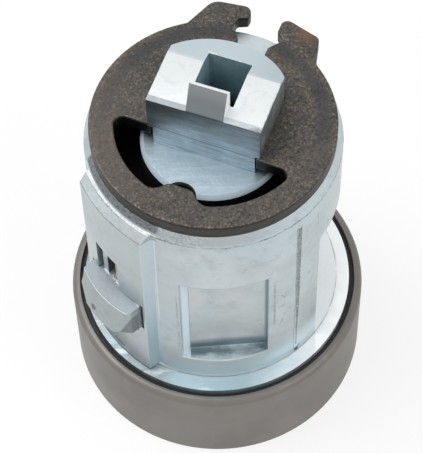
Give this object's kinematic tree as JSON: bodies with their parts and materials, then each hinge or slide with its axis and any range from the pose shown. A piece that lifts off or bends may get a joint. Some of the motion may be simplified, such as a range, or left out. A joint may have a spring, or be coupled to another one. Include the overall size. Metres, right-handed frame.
{
  "type": "ignition lock cylinder",
  "caption": "Die-cast ignition lock cylinder with a satin trim ring, a turning wafer plug, a C-shaped retaining plate, a square drive socket and a sprung side latch.",
  "frame": {"origin": "centre of the key face of the trim ring, on the surface the part stands on", "axes": "+Z along the lock's axis from the key face to the drive end, -Y towards the side with the shallow pocket"},
  "size_m": [0.0397, 0.0396, 0.0613],
  "materials": {
    "zinc": "die-cast zinc, blue passivated",
    "trim": "warm grey satin lacquer",
    "liner": "black moulded plastic",
    "plate": "phosphated spring steel, oiled",
    "spring_strip": "tempered spring strip",
    "cap": "stainless steel",
    "steel": "bright steel",
    "brass": "stamped brass"
  },
  "bodies": {
    "housing": {"housing": "zinc", "trim_ring": "trim", "liner_ring": "liner", "latch_spring": "spring_strip"},
    "rotor": {"plug": "zinc", "retaining_plate": "plate", "face_cap": "cap", "shutter_pin": "steel", "shutter_spring": "steel", "wafer_spring_1": "steel", "wafer_spring_2": "steel", "wafer_spring_3": "steel", "wafer_spring_4": "steel", "wafer_spring_5": "steel", "wafer_spring_6": "steel", "wafer_spring_7": "steel", "wafer_spring_8": "steel"},
    "latch": {"latch": "zinc"},
    "shutter": {"shutter": "steel"},
    "wafer_1": {"wafer_1": "brass"},
    "wafer_2": {"wafer_2": "brass"},
    "wafer_3": {"wafer_3": "brass"},
    "wafer_4": {"wafer_4": "brass"},
    "wafer_5": {"wafer_5": "brass"},
    "wafer_6": {"wafer_6": "brass"},
    "wafer_7": {"wafer_7": "brass"},
    "wafer_8": {"wafer_8": "brass"}
  },
  "joints": [
    {"name": "key_turn", "type": "hinge", "parent": "housing", "child": "rotor", "pos_m": [0, 0, 0.03], "axis": [0, 0, 1], "range_deg": [0, 120]},
    {"name": "latch_press", "type": "slide", "parent": "housing", "child": "latch", "axis": [0.788, 0.6157, 0], "range_m": [0, 0.0021], "stiffness_N_per_m": 300, "springref_m": -0.001, "deforming": ["latch_spring"]},
    {"name": "shutter_swing", "type": "hinge", "parent": "rotor", "child": "shutter", "pos_m": [0.00125, 0.00316, 0.0021], "axis": [-0.9304, 0.3665, 0], "range_deg": [0, 75], "stiffness_Nm_per_rad": 0.0004, "springref_deg": -22.92, "deforming": ["shutter_spring"]},
    {"name": "wafer_1_slide", "type": "slide", "parent": "rotor", "child": "wafer_1", "axis": [0.9304, -0.3665, 0], "range_m": [-0.0009, 0], "stiffness_N_per_m": 60, "springref_m": -0.0012, "deforming": ["wafer_spring_1"]},
    {"name": "wafer_2_slide", "type": "slide", "parent": "rotor", "child": "wafer_2", "axis": [-0.9304, 0.3665, 0], "range_m": [-0.0009, 0], "stiffness_N_per_m": 60, "springref_m": -0.0012, "deforming": ["wafer_spring_2"]},
    {"name": "wafer_3_slide", "type": "slide", "parent": "rotor", "child": "wafer_3", "axis": [0.9304, -0.3665, 0], "range_m": [-0.0009, 0], "stiffness_N_per_m": 60, "springref_m": -0.0012, "deforming": ["wafer_spring_3"]},
    {"name": "wafer_4_slide", "type": "slide", "parent": "rotor", "child": "wafer_4", "axis": [-0.9304, 0.3665, 0], "range_m": [-0.0009, 0], "stiffness_N_per_m": 60, "springref_m": -0.0012, "deforming": ["wafer_spring_4"]},
    {"name": "wafer_5_slide", "type": "slide", "parent": "rotor", "child": "wafer_5", "axis": [0.9304, -0.3665, 0], "range_m": [-0.0009, 0], "stiffness_N_per_m": 60, "springref_m": -0.0012, "deforming": ["wafer_spring_5"]},
    {"name": "wafer_6_slide", "type": "slide", "parent": "rotor", "child": "wafer_6", "axis": [-0.9304, 0.3665, 0], "range_m": [-0.0009, 0], "stiffness_N_per_m": 60, "springref_m": -0.0012, "deforming": ["wafer_spring_6"]},
    {"name": "wafer_7_slide", "type": "slide", "parent": "rotor", "child": "wafer_7", "axis": [0.9304, -0.3665, 0], "range_m": [-0.0009, 0], "stiffness_N_per_m": 60, "springref_m": -0.0012, "deforming": ["wafer_spring_7"]},
    {"name": "wafer_8_slide", "type": "slide", "parent": "rotor", "child": "wafer_8", "axis": [-0.9304, 0.3665, 0], "range_m": [-0.0009, 0], "stiffness_N_per_m": 60, "springref_m": -0.0012, "deforming": ["wafer_spring_8"]}
  ]
}
